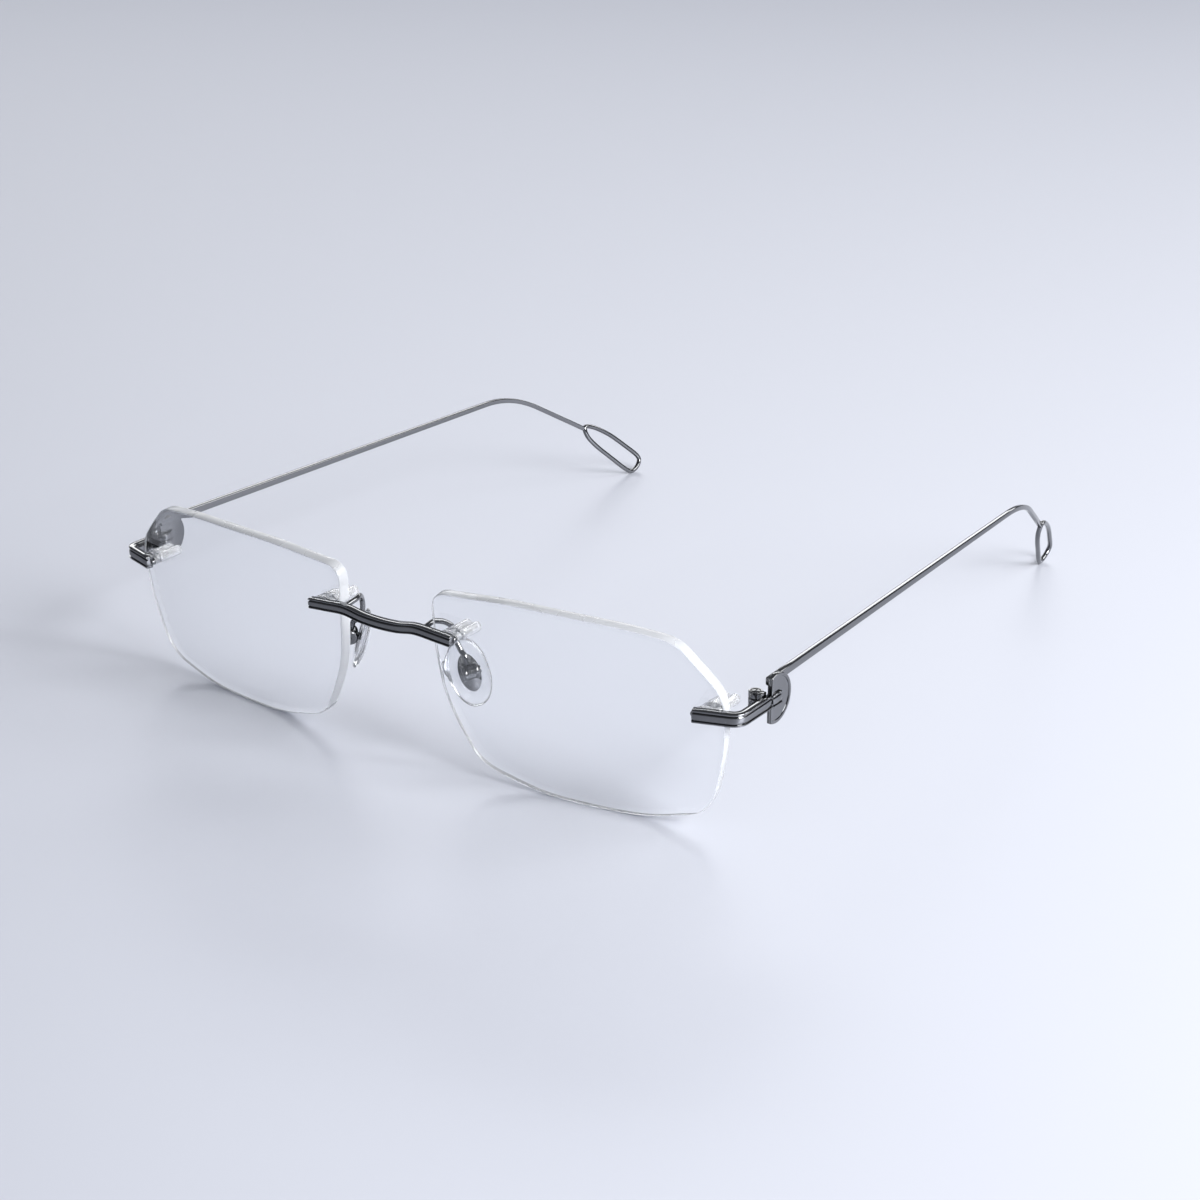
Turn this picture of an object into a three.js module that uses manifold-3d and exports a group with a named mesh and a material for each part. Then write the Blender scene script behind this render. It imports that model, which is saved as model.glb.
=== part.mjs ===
// Rimless eyeglasses: two drilled lenses held by a reeded bridge bar and two reeded endpieces,
// with rocking nose pads and folding temples that end in open loops.
// Millimetres. +X is the wearer's left, +Y runs back along the temples, +Z is up.
// One side is modelled at +X and mirrored; the origin is under the middle, on the surface.

import * as THREE from 'three';
import { mergeVertices } from 'three/addons/utils/BufferGeometryUtils.js';
import Module from 'manifold-3d';

const wasm = await Module();
wasm.setup();

// ---- Driving dimensions -------------------------------------------------------------------

const GAP = 0.1; // between pieces that are fixed to each other
const PLAY = 0.15; // between faces that move past each other
const RUNNING = 0.08; // round a pin that something turns on

// Lenses
const LENS_WIDTH = 56;
const LENS_HEIGHT = 36.6;
const LENS_THICKNESS = 2.2;
const LENS_RADIUS = 200; // of the front surface
const LENS_DISTANCE = 20.4; // between the two lenses at the nose
const WRAP = THREE.MathUtils.degToRad(6.7); // outer side back
const TILT = THREE.MathUtils.degToRad(6.3); // lower edge back

// Fixings through the lenses: two posts each, along Y
const BRIDGE_FIXING = [3.9 - LENS_WIDTH / 2, 9.4]; // outwards and upwards from the lens centre
const ENDPIECE_FIXING = [LENS_WIDTH / 2 - 3.1, 5.3];
const STANDOFF = 1.05; // lens front to the back of the bar
const BOSS_THICKNESS = 0.4; // of the bar's mounting boss
const OVAL_LENGTH = 4.2; // bosses, washers and sleeve flanges
const OVAL_HEIGHT = 2.4;
const POST_RADIUS = 0.5;
const POST_SPACING = 2.0;
const POST_REACH = 4.6; // behind the lens
const LENS_HOLE_CLEARANCE = 0.15;
const SLEEVE_RADIUS = 0.97;
const SLEEVE_LENGTH = 5.5;
const FLANGE_THICKNESS = 0.7;

// Reeded bars
const BAR_DEPTH = 1.45;
const GROOVE_WIDTH = 0.42;
const GROOVE_DEPTH = 0.25;
const BRIDGE_HEIGHT = 1.95;
const BRIDGE_OVERLAP = 5.8; // of the bar over each lens
const BRIDGE_HUMP = 0.5; // rise beside the nose
const BRIDGE_DIP = 0.3; // fall in the middle

// Endpieces and hinges
const ENDPIECE_HEIGHT = 2.4;
const ENDPIECE_SWEEP = THREE.MathUtils.degToRad(18); // front limb, outer end back
const ENDPIECE_INNER = 2.1; // front limb past the fixing, towards the nose
const ENDPIECE_OUTER = 6.2; // fixing to the middle of the side limb, across
const ENDPIECE_CORNER = 1.8; // reach of the rounded corner along both limbs
const ENDPIECE_SIDE = 9.1; // side limb, corner to rear end
const KNUCKLE_RADIUS = 1.25;
const KNUCKLE_HEIGHT = 1.1;
const HINGE_SETBACK = 0.65; // of the hinge axis from the limb's rear end
const HINGE_SCREW_RADIUS = 0.4;
const HINGE_HEAD_RADIUS = 0.78;
const HINGE_HEAD_HEIGHT = 0.45;
const SLOT_WIDTH = 0.25;
const SLOT_DEPTH = 0.2;

// Temples
const PLATE_RADIUS = 4.5;
const PLATE_THICKNESS = 0.95;
const PLATE_INSET = 0.2; // outer face inside that of the endpiece
const PLATE_SETBACK = 1.8; // circle centre behind the straight front edge
const RIB_LENGTH = 2.9;
const RIB_STANDOUT = 0.35;
const TEMPLE_WIDTH = 1.1;
const TEMPLE_HEIGHT = 1.6;
const TEMPLE_END_WIDTH = 0.9;
const TEMPLE_END_HEIGHT = 1.05;
const TEMPLE_STRAIGHT = 107.4; // hinge plate to ear bend
const TEMPLE_CONVERGENCE = 4.6; // towards the head by the ear bend
const TEMPLE_FALL = 0.7; // by the ear bend
const EAR_REACH = 9; // of the rounded bend along both its sides
const EAR_BACK = 21.3; // ear bend to loop
const EAR_INWARDS = 5.4;
const LOOP_LENGTH = 20;
const LOOP_WIDTH = 6.3;
const LOOP_WIRE = 1.05;
const LOOP_DIRECTION = new THREE.Vector3(-0.27, 0.644, -0.716).normalize(); // bar to tip
const LOOP_OPENS = new THREE.Vector3(0.12, 0.76, 0.64); // lower arm to upper arm

// Nose pads
const ARM_RADIUS = 0.5;
const ARM_LENS_CLEARANCE = 0.7; // beside the lens edge
const PAD_SCREW_CENTRE = new THREE.Vector3(14.2, 4.3, 0.9); // from the point between the lenses
const PAD_DOWN = new THREE.Vector3(0.36, 0.03, -0.93).normalize();
const PAD_FACES = new THREE.Vector3(-0.77, 0.64, 0);
const PAD_LENGTH = 12.6;
const PAD_WIDTH = 7.2;
const PAD_THICKNESS = 1.8;
const PAD_DROP = 0.4; // pad centre below the screw
const PAD_BACK = 1.75; // screw axis to the pad's back
const CORE_LENGTH = 7;
const CORE_WIDTH = 3.8;
const CORE_THICKNESS = 0.35;
const LUG_RADIUS = 0.75;
const LUG_STEM = 1.1; // height of the lug between its eye and the plate
const LUG_THICKNESS = 0.8;
const BOX_RADIUS = 1.5;
const BOX_LENGTH = 2.9;
const PAD_SCREW_RADIUS = 0.32;
const PAD_SCREW_HEAD = 0.7;
const PAD_SCREW_HEAD_HEIGHT = 0.35;

// ---- Materials ----------------------------------------------------------------------------

const steel = new THREE.MeshStandardMaterial({ color: 0xb6b9be, roughness: 0.22, metalness: 1 });
const clearLens = new THREE.MeshStandardMaterial({ color: 0xeef3f8, roughness: 0.02, metalness: 0 });
const plastic = new THREE.MeshStandardMaterial({ color: 0xf4f6f8, roughness: 0.12, metalness: 0 });
const silicone = new THREE.MeshStandardMaterial({ color: 0xe8ebee, roughness: 0.25, metalness: 0 });

// ---- Helpers ------------------------------------------------------------------------------

const X_AXIS = new THREE.Vector3(1, 0, 0);
const Y_AXIS = new THREE.Vector3(0, 1, 0);
const Z_AXIS = new THREE.Vector3(0, 0, 1);

// Merged bare triangles that face outwards.
function closed(geometry) {
  const bare = new THREE.BufferGeometry();
  bare.setAttribute('position', geometry.attributes.position.clone());
  if (geometry.index) bare.setIndex(geometry.index.clone());
  const merged = mergeVertices(bare, 1e-5);
  const index = merged.index.array;
  const [a, b, c] = [0, 1, 2].map(() => new THREE.Vector3());
  let volume = 0;
  for (let i = 0; i < index.length; i += 3) {
    [a, b, c].forEach((corner, k) => corner.fromBufferAttribute(merged.attributes.position, index[i + k]));
    volume += a.dot(b.cross(c));
  }
  if (volume < 0) {
    for (let i = 0; i < index.length; i += 3) [index[i], index[i + 1]] = [index[i + 1], index[i]];
  }
  return merged;
}

function toSolid(geometry) {
  const merged = closed(geometry);
  const vertProperties = new Float32Array(merged.attributes.position.array);
  const triVerts = new Uint32Array(merged.index.array);
  return new wasm.Manifold(new wasm.Mesh({ numProp: 3, vertProperties, triVerts }));
}

function toGeometry(solid) {
  const mesh = solid.getMesh();
  const geometry = new THREE.BufferGeometry();
  geometry.setAttribute('position', new THREE.BufferAttribute(new Float32Array(mesh.vertProperties), 3));
  geometry.setIndex(new THREE.BufferAttribute(new Uint32Array(mesh.triVerts), 1));
  geometry.computeVertexNormals();
  return geometry;
}

// Joins the first list of geometries and cuts the second one out of it.
function shaped(joined, removed = []) {
  const [first, ...others] = joined.map(toSolid);
  const whole = others.reduce((sum, other) => sum.add(other), first);
  return toGeometry(removed.map(toSolid).reduce((rest, tool) => rest.subtract(tool), whole));
}

function box(from, to) {
  const size = to.map((value, axis) => value - from[axis]);
  return new THREE.BoxGeometry(...size).translate(...from.map((value, axis) => value + size[axis] / 2));
}

// Everything on the side of a plane that the direction points to.
function beyond(point, direction) {
  const block = new THREE.BoxGeometry(60, 60, 30).translate(0, 0, 15);
  block.applyQuaternion(new THREE.Quaternion().setFromUnitVectors(Z_AXIS, direction));
  return block.translate(...point);
}

function rodAlongY(radius, from, to, sides = 24) {
  return new THREE.CylinderGeometry(radius, radius, to - from, sides).translate(0, (from + to) / 2, 0);
}

function rodAlongZ(radius, from, to, sides = 32) {
  return rodAlongY(radius, from, to, sides).rotateX(Math.PI / 2);
}

function ovalAlongY(length, height, from, to) {
  const shape = new THREE.Shape();
  shape.absellipse(0, 0, length / 2, height / 2, 0, 2 * Math.PI);
  const options = { depth: to - from, curveSegments: 12, bevelEnabled: false };
  return new THREE.ExtrudeGeometry(shape, options).rotateX(Math.PI / 2).translate(0, to, 0);
}

// Sweeps an upright section along a path; its X faces outwards and its Y upwards.
function sweep(section, points, scaleAt = () => [1, 1]) {
  const steps = points.length - 1;
  const geometry = new THREE.ExtrudeGeometry(section, { depth: steps, steps, bevelEnabled: false });
  const frames = points.map((point, i) => {
    const along = points[Math.min(i + 1, steps)].clone().sub(points[Math.max(i - 1, 0)]).normalize();
    const outwards = along.clone().cross(Z_AXIS).normalize();
    return { point, outwards, upwards: outwards.clone().cross(along), scale: scaleAt(point) };
  });
  const position = geometry.attributes.position;
  for (let i = 0; i < position.count; i++) {
    const { point, outwards, upwards, scale } = frames[Math.round(position.getZ(i))];
    const moved = point
      .clone()
      .addScaledVector(outwards, position.getX(i) * scale[0])
      .addScaledVector(upwards, position.getY(i) * scale[1]);
    position.setXYZ(i, moved.x, moved.y, moved.z);
  }
  return closed(geometry);
}

// A bar section with two reeding grooves along its outer face.
function reeded(height) {
  const [d, h] = [BAR_DEPTH / 2, height / 2];
  const shape = new THREE.Shape();
  shape.moveTo(-d, -h);
  shape.lineTo(d, -h);
  for (const groove of [-height / 5, height / 5]) {
    shape.lineTo(d, groove - GROOVE_WIDTH / 2);
    shape.lineTo(d - GROOVE_DEPTH, groove);
    shape.lineTo(d, groove + GROOVE_WIDTH / 2);
  }
  shape.lineTo(d, h);
  shape.lineTo(-d, h);
  return shape;
}

function chamferedRectangle(width, height, chamfer) {
  const [w, h] = [width / 2, height / 2];
  const shape = new THREE.Shape();
  shape.moveTo(w, chamfer - h);
  shape.lineTo(w, h - chamfer);
  shape.lineTo(w - chamfer, h);
  shape.lineTo(chamfer - w, h);
  shape.lineTo(-w, h - chamfer);
  shape.lineTo(-w, chamfer - h);
  shape.lineTo(chamfer - w, -h);
  shape.lineTo(w - chamfer, -h);
  return shape;
}

function node(name, geometry, material) {
  const mesh = new THREE.Mesh(closed(geometry), material);
  mesh.name = name;
  return mesh;
}

// ---- Lens ---------------------------------------------------------------------------------

// In the lens frame X runs outwards, Y up and Z forwards; the middle of the front is at 0.
function lensOutline() {
  const at = ([u, v]) => new THREE.Vector2((u * LENS_WIDTH) / 2, (v * LENS_HEIGHT) / 2);
  const shape = new THREE.Shape();
  const bow = (...points) => shape.splineThru(points.map(at));
  const corner = (control, end) => shape.quadraticCurveTo(...at(control), ...at(end));
  shape.moveTo(...at([-1, 0.74]));
  corner([-1, 0.915], [-0.88, 0.93]);
  bow([-0.47, 0.99], [-0.1, 1], [0.32, 0.99], [0.58, 0.955]);
  corner([0.69, 0.935], [0.75, 0.85]);
  shape.lineTo(...at([0.925, 0.57]));
  corner([1, 0.45], [1, 0.22]);
  bow([0.985, -0.12], [0.93, -0.52]);
  corner([0.88, -0.83], [0.72, -0.88]);
  bow([0.42, -0.98], [0.08, -1], [-0.26, -0.985], [-0.56, -0.89]);
  corner([-0.71, -0.84], [-0.77, -0.69]);
  bow([-0.87, -0.4], [-0.945, -0.1], [-0.985, 0.3], [-1, 0.74]);
  return shape;
}

const lensSag = (u, v) => LENS_RADIUS - Math.sqrt(LENS_RADIUS ** 2 - u * u - v * v);

function uncutLens() {
  const radius = Math.hypot(LENS_WIDTH, LENS_HEIGHT) / 2 + 1;
  const front = [0, 1, 2, 3, 4, 5].map((ring) => {
    const r = (radius * ring) / 5;
    return new THREE.Vector2(r, -lensSag(r, 0));
  });
  const back = front.map((point) => point.clone().sub(new THREE.Vector2(0, LENS_THICKNESS)));
  const blank = new THREE.LatheGeometry([...front, ...back.reverse()], 48).rotateX(Math.PI / 2);
  const reach = LENS_THICKNESS + 8;
  const options = { depth: 2 * reach, curveSegments: 8, bevelEnabled: false };
  const prism = new THREE.ExtrudeGeometry(lensOutline(), options).translate(0, 0, -reach);
  return toGeometry(toSolid(blank).intersect(toSolid(prism)));
}

// The lens stands on its lowest point.
const lensFrame = new THREE.Group();
lensFrame.rotation.set(Math.PI / 2 + TILT, 0, WRAP, 'ZXY');
lensFrame.position.x =
  LENS_DISTANCE / 2 + (LENS_WIDTH / 2) * Math.cos(WRAP) + lensSag(LENS_WIDTH / 2, 0) * Math.sin(WRAP);
const lensBlank = uncutLens();
const lensShadow = new THREE.Mesh(lensBlank);
lensShadow.applyMatrix4(new THREE.Matrix4().makeRotationFromEuler(lensFrame.rotation));
lensFrame.position.z = -new THREE.Box3().setFromObject(lensShadow, true).min.z;
lensFrame.updateMatrixWorld(true);

// A fixing: the point on the lens front and the directions of its faces, on the +X side.
function fixingAt([u, v], barForwards) {
  const normal = new THREE.Vector3(u, v, Math.sqrt(LENS_RADIUS ** 2 - u * u - v * v)).normalize();
  return {
    origin: new THREE.Vector3(u, v, -lensSag(u, v)).applyMatrix4(lensFrame.matrixWorld),
    normal: normal.transformDirection(lensFrame.matrixWorld),
    lensDepth: Z_AXIS.clone().transformDirection(lensFrame.matrixWorld).multiplyScalar(-LENS_THICKNESS),
    barForwards,
  };
}

const forwards = Y_AXIS.clone().negate();
const bridgeFixing = fixingAt(BRIDGE_FIXING, forwards);
const endpieceFixing = fixingAt(ENDPIECE_FIXING, forwards.clone().applyAxisAngle(Z_AXIS, ENDPIECE_SWEEP));

// Two parallel rods along Y, about a fixing's origin.
function twins(make) {
  return [-1, 1].map((side) => make().translate((side * POST_SPACING) / 2, 0, 0));
}

function lensGeometry() {
  const toLens = lensFrame.matrixWorld.clone().invert();
  const holes = [bridgeFixing, endpieceFixing].flatMap(({ origin }) =>
    twins(() => rodAlongY(POST_RADIUS + LENS_HOLE_CLEARANCE, -4, 6, 16)).map((hole) =>
      hole.translate(...origin).applyMatrix4(toLens),
    ),
  );
  return shaped([lensBlank], holes);
}

// ---- Fixings, in a frame at the fixing's origin -------------------------------------------

// The bar's boss and both posts, ready to join to the bar.
function bossAndPosts({ lensDepth, barForwards }) {
  const start = barForwards.clone().multiplyScalar(STANDOFF + BAR_DEPTH / 2);
  const end = barForwards.clone().multiplyScalar(STANDOFF - BOSS_THICKNESS);
  const boss = shaped(
    [ovalAlongY(OVAL_LENGTH, OVAL_HEIGHT * 0.75, -6, 3)],
    [beyond(start, barForwards), beyond(end, barForwards.clone().negate())],
  );
  return [boss, ...twins(() => rodAlongY(POST_RADIUS, -STANDOFF - 0.3, lensDepth.y + POST_REACH, 16))];
}

function washerGeometry({ normal, barForwards }) {
  const front = barForwards.clone().multiplyScalar(STANDOFF - BOSS_THICKNESS - GAP);
  const back = normal.clone().multiplyScalar(GAP);
  return shaped(
    [ovalAlongY(OVAL_LENGTH, OVAL_HEIGHT, -4, 4)],
    [
      beyond(front, barForwards),
      beyond(back, normal.clone().negate()),
      ...twins(() => rodAlongY(POST_RADIUS + GAP, -5, 5, 16)),
    ],
  );
}

// Twin sleeves with rounded blind ends on one flange against the back of the lens.
function sleeveGeometry({ normal, lensDepth }) {
  const back = lensDepth.y;
  const end = back + SLEEVE_LENGTH;
  const rounding = SLEEVE_RADIUS * 0.6;
  const barrel = () => {
    const profile = [new THREE.Vector2(0, back - 1), new THREE.Vector2(SLEEVE_RADIUS, back - 1)];
    for (let i = 0; i <= 3; i++) {
      const angle = (i / 3) * (Math.PI / 2);
      const radius = SLEEVE_RADIUS - rounding * (1 - Math.cos(angle));
      profile.push(new THREE.Vector2(radius, end - rounding * (1 - Math.sin(angle))));
    }
    return new THREE.LatheGeometry([...profile, new THREE.Vector2(0, end)], 18);
  };
  const against = lensDepth.clone().addScaledVector(normal, -GAP);
  return shaped(
    [...twins(barrel), ovalAlongY(OVAL_LENGTH, OVAL_HEIGHT, back - 1, back + FLANGE_THICKNESS)],
    [beyond(against, normal), ...twins(() => rodAlongY(POST_RADIUS + GAP, -1, back + POST_REACH + GAP, 16))],
  );
}

// ---- Bridge, in a frame midway between its fixings ----------------------------------------

const bridgeHalf = LENS_DISTANCE / 2 + BRIDGE_OVERLAP;

function bridgeGeometry() {
  const level = (share, rise) =>
    new THREE.Vector3(share * bridgeHalf, -STANDOFF - BAR_DEPTH / 2, rise);
  const half = [
    level(0.25, -BRIDGE_DIP / 3),
    level(0.5, BRIDGE_HUMP),
    level(0.78, BRIDGE_HUMP / 2),
    level(1, 0),
  ];
  const mirrored = half.map((point) => point.clone().setX(-point.x)).reverse();
  const curve = new THREE.CatmullRomCurve3([...mirrored, level(0, -BRIDGE_DIP), ...half]);
  const fixings = [1, -1].flatMap((side) =>
    bossAndPosts(bridgeFixing).map((piece) =>
      closed(piece.translate(bridgeFixing.origin.x, 0, 0).scale(side, 1, 1)),
    ),
  );
  return shaped([sweep(reeded(BRIDGE_HEIGHT), curve.getPoints(40)), ...fixings]);
}

// ---- Endpiece, in a frame at the middle of the hinge axis ---------------------------------

const limbDirection = X_AXIS.clone().applyAxisAngle(Z_AXIS, ENDPIECE_SWEEP);
const limbMiddle = endpieceFixing.origin
  .clone()
  .addScaledVector(endpieceFixing.barForwards, STANDOFF + BAR_DEPTH / 2);
const limbCorner = limbMiddle
  .clone()
  .addScaledVector(limbDirection, (endpieceFixing.origin.x + ENDPIECE_OUTER - limbMiddle.x) / limbDirection.x);
const limbEnd = limbCorner.clone().addScaledVector(Y_AXIS, ENDPIECE_SIDE);
const hingeAxis = limbEnd
  .clone()
  .add(new THREE.Vector3(-BAR_DEPTH / 2 - PLAY - KNUCKLE_RADIUS, -HINGE_SETBACK, 0));
const fromHinge = (point) => point.clone().sub(hingeAxis);
const knuckleLow = (number) => (number - 1) * (KNUCKLE_HEIGHT + PLAY) - KNUCKLE_HEIGHT / 2;
const knuckleHigh = (number) => knuckleLow(number) + KNUCKLE_HEIGHT;
const knuckle = (number) => rodAlongZ(KNUCKLE_RADIUS, knuckleLow(number), knuckleHigh(number));
const hingeTop = knuckleHigh(2);

function endpieceGeometry() {
  const start = limbMiddle.clone().addScaledVector(limbDirection, -ENDPIECE_INNER);
  const bend = new THREE.QuadraticBezierCurve3(
    limbCorner.clone().addScaledVector(limbDirection, -ENDPIECE_CORNER),
    limbCorner,
    limbCorner.clone().addScaledVector(Y_AXIS, ENDPIECE_CORNER),
  );
  const bar = sweep(reeded(ENDPIECE_HEIGHT), [start, ...bend.getPoints(10), limbEnd].map(fromHinge));
  const inLimb = KNUCKLE_RADIUS + PLAY + 0.3;
  const tabs = [0, 2].map((number) =>
    box([0, -KNUCKLE_RADIUS, knuckleLow(number)], [inLimb, HINGE_SETBACK, knuckleHigh(number)]),
  );
  const fixing = bossAndPosts(endpieceFixing).map((piece) => piece.translate(...fromHinge(endpieceFixing.origin)));
  return shaped(
    [bar, knuckle(0), knuckle(2), ...tabs, ...fixing],
    [
      rodAlongZ(HINGE_SCREW_RADIUS + RUNNING, -5, 5, 24),
      rodAlongZ(HINGE_HEAD_RADIUS + PLAY, hingeTop - HINGE_HEAD_HEIGHT - PLAY, hingeTop + 1),
    ],
  );
}

function hingeScrewGeometry() {
  const headLow = hingeTop - HINGE_HEAD_HEIGHT;
  return shaped(
    [
      rodAlongZ(HINGE_SCREW_RADIUS, knuckleLow(0), headLow + 0.1, 24),
      rodAlongZ(HINGE_HEAD_RADIUS, headLow, hingeTop),
    ],
    [box([-2, -SLOT_WIDTH / 2, hingeTop - SLOT_DEPTH], [2, SLOT_WIDTH / 2, hingeTop + 1])],
  );
}

// ---- Temple, in the same frame as the endpiece --------------------------------------------

const plateFront = HINGE_SETBACK + 2 * PLAY;
const plateInner = KNUCKLE_RADIUS + PLAY + BAR_DEPTH - PLATE_INSET - PLATE_THICKNESS;
const plateTop = PLATE_RADIUS;
const barStart = new THREE.Vector3(plateInner + 0.1, plateFront, plateTop - TEMPLE_HEIGHT * 0.65);

function hingePlate() {
  const front = Math.acos(-PLATE_SETBACK / PLATE_RADIUS);
  const outline = new THREE.Shape();
  outline.absarc(plateFront + PLATE_SETBACK, 0, PLATE_RADIUS, -front, front, false);
  const upright = new THREE.Matrix4().makeBasis(Y_AXIS, Z_AXIS, X_AXIS);
  const options = { depth: PLATE_THICKNESS, curveSegments: 40, bevelEnabled: false };
  const disc = new THREE.ExtrudeGeometry(outline, options).applyMatrix4(upright).translate(plateInner, 0, 0);
  const ribMiddle = plateInner + PLATE_THICKNESS + RIB_STANDOUT - BAR_DEPTH / 2;
  const rib = [plateFront, plateFront + RIB_LENGTH].map((y) => new THREE.Vector3(ribMiddle, y, 0));
  return [disc, sweep(reeded(ENDPIECE_HEIGHT), rib)];
}

// The middle line of the loop in its own plane: X from the bar to the tip, Y to the open side.
function loopGeometry() {
  const at = (length, width) => new THREE.Vector3(length * LOOP_LENGTH, width * LOOP_WIDTH, 0);
  const line = new THREE.CatmullRomCurve3([
    at(0.01, 0.08), at(0.1, -0.13), at(0.28, -0.17), at(0.55, -0.1), at(0.85, 0), at(0.965, 0.16),
    at(1.01, 0.57), at(0.96, 0.81), at(0.73, 0.76), at(0.4, 0.61), at(0.13, 0.35),
  ], true);
  const points = line.getSpacedPoints(60).slice(0, -1);
  const beside = (distance) => points.map((point, i) => {
    const along = points[(i + 1) % points.length].clone().sub(points.at(i - 1)).normalize();
    return new THREE.Vector2(point.x + along.y * distance, point.y - along.x * distance);
  });
  const round = LOOP_WIRE * 0.25;
  const shape = new THREE.Shape(beside(LOOP_WIRE / 2 - round));
  shape.holes.push(new THREE.Path(beside(round - LOOP_WIRE / 2)));
  const geometry = new THREE.ExtrudeGeometry(shape, {
    depth: LOOP_WIRE - 2 * round, bevelThickness: round, bevelSize: round, bevelSegments: 2,
  }).translate(0, 0, round - LOOP_WIRE / 2);
  const side = LOOP_DIRECTION.clone().cross(LOOP_OPENS).normalize();
  const plane = new THREE.Matrix4().makeBasis(LOOP_DIRECTION, side.clone().cross(LOOP_DIRECTION), side);
  return geometry.applyMatrix4(plane);
}

// The loop rests on the surface that the lenses stand on.
function templeGeometry() {
  const loop = loopGeometry();
  loop.computeBoundingBox();
  const ear = barStart.clone().add(new THREE.Vector3(-TEMPLE_CONVERGENCE, TEMPLE_STRAIGHT, -TEMPLE_FALL));
  const end = ear.clone().add(new THREE.Vector3(-EAR_INWARDS, EAR_BACK, 0));
  end.z = -hingeAxis.z - loop.boundingBox.min.z;
  const before = barStart.clone().sub(ear).setLength(EAR_REACH).add(ear);
  const after = end.clone().sub(ear).setLength(EAR_REACH).add(ear);
  const bend = new THREE.QuadraticBezierCurve3(before, ear, after);
  const bar = sweep(
    chamferedRectangle(TEMPLE_WIDTH, TEMPLE_HEIGHT, 0.2),
    [barStart, ...bend.getPoints(10), end],
    (point) => {
      const share = Math.min((point.y - barStart.y) / TEMPLE_STRAIGHT, 1);
      return [
        1 + share * (TEMPLE_END_WIDTH / TEMPLE_WIDTH - 1),
        1 + share * (TEMPLE_END_HEIGHT / TEMPLE_HEIGHT - 1),
      ];
    },
  );
  const tab = box([0, 0, knuckleLow(1)], [plateInner + PLATE_THICKNESS / 2, KNUCKLE_RADIUS, knuckleHigh(1)]);
  return shaped(
    [...hingePlate(), bar, loop.translate(...end), tab, knuckle(1)],
    [
      box([KNUCKLE_RADIUS, -2, -1], [KNUCKLE_RADIUS + 2, plateFront, 1]),
      rodAlongZ(HINGE_SCREW_RADIUS + RUNNING, -1, 1, 24),
    ],
  );
}

// ---- Nose pad, in a frame at its screw: X faces the nose, Z runs up the pad -------

const padFrame = new THREE.Group();
const padUp = PAD_DOWN.clone().negate();
const padAcross = padUp.clone().cross(PAD_FACES).normalize();
padFrame.quaternion.setFromRotationMatrix(
  new THREE.Matrix4().makeBasis(padAcross.clone().cross(padUp), padAcross, padUp),
);
padFrame.position.copy(PAD_SCREW_CENTRE).add(new THREE.Vector3(0, 0, lensFrame.position.z));
padFrame.updateMatrixWorld(true);

const coreFront = PAD_BACK + GAP + CORE_THICKNESS;
const ovalAlongX = (width, length, from, to) => ovalAlongY(width, length, from, to).rotateZ(-Math.PI / 2);

function nosePadGeometry() {
  const profile = [[0, 0], [0.82, 0], [0.95, 0.12], [1, 0.32], [0.95, 0.52], [0.78, 0.77], [0.45, 0.95], [0, 1]];
  const points = profile.map(([radius, depth]) => new THREE.Vector2(radius, depth * PAD_THICKNESS));
  const pad = new THREE.LatheGeometry(points, 40)
    .rotateZ(-Math.PI / 2)
    .scale(1, PAD_WIDTH / 2, PAD_LENGTH / 2)
    .translate(PAD_BACK, 0, -PAD_DROP);
  const pocket = ovalAlongX(CORE_WIDTH + 2 * GAP, CORE_LENGTH + 2 * GAP, PAD_BACK - 1, coreFront + GAP);
  return shaped([pad], [pocket.translate(0, 0, -PAD_DROP)]);
}

function padCoreGeometry() {
  const plate = ovalAlongX(CORE_WIDTH, CORE_LENGTH, PAD_BACK + GAP, coreFront).translate(0, 0, -PAD_DROP);
  const stem = box([0, -LUG_THICKNESS / 2, -LUG_STEM / 2], [coreFront, LUG_THICKNESS / 2, LUG_STEM / 2]);
  const lug = rodAlongY(LUG_RADIUS, -LUG_THICKNESS / 2, LUG_THICKNESS / 2, 24);
  return shaped([plate, stem, lug], [rodAlongY(PAD_SCREW_RADIUS + RUNNING, -2, 2, 20)]);
}

function padScrewGeometry() {
  const end = BOX_LENGTH / 2;
  const headLow = end + GAP;
  const headHigh = headLow + PAD_SCREW_HEAD_HEIGHT;
  return shaped(
    [
      rodAlongY(PAD_SCREW_RADIUS, -end - 0.1, headLow + 0.1, 20),
      rodAlongY(PAD_SCREW_HEAD, headLow, headHigh, 24),
    ],
    [box([-2, headHigh - SLOT_DEPTH / 2, -SLOT_WIDTH / 2], [2, headHigh + 1, SLOT_WIDTH / 2])],
  ).rotateZ(Math.PI);
}

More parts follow.
